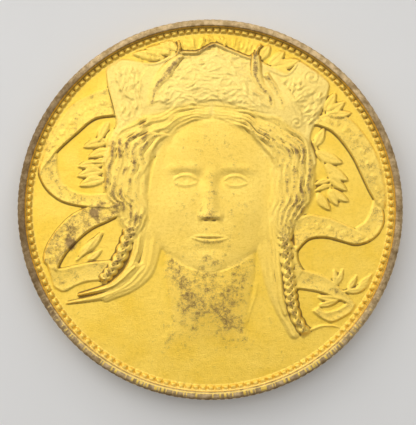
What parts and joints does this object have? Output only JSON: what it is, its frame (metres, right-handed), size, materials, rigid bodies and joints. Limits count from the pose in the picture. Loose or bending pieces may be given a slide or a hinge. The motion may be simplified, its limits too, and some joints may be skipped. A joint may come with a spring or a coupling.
{
  "type": "portrait medal",
  "caption": "Round struck medal with a frontal relief bust, ribbons and laurel inside a bead border, worn gilding, a reeded edge and a wreath on the back.",
  "frame": {"origin": "centre of the plane of the back rim", "axes": "+Z along the medal's axis out of the portrait side, +Y towards the top of the head, +X to the right when the portrait is looked at"},
  "size_m": [0.032, 0.032, 0.0022],
  "materials": {
    "worn_bronze": "brown toned bronze, rubbed smooth on the rims",
    "gilding": "bright gold film, worn through on high points",
    "edge_gilding": "bright gold left in the grooves of the edge"
  },
  "bodies": {
    "root": {"struck_flan": "worn_bronze", "obverse_gilding": "gilding", "reverse_gilding": "gilding", "edge_gilding": "edge_gilding"}
  },
  "joints": []
}
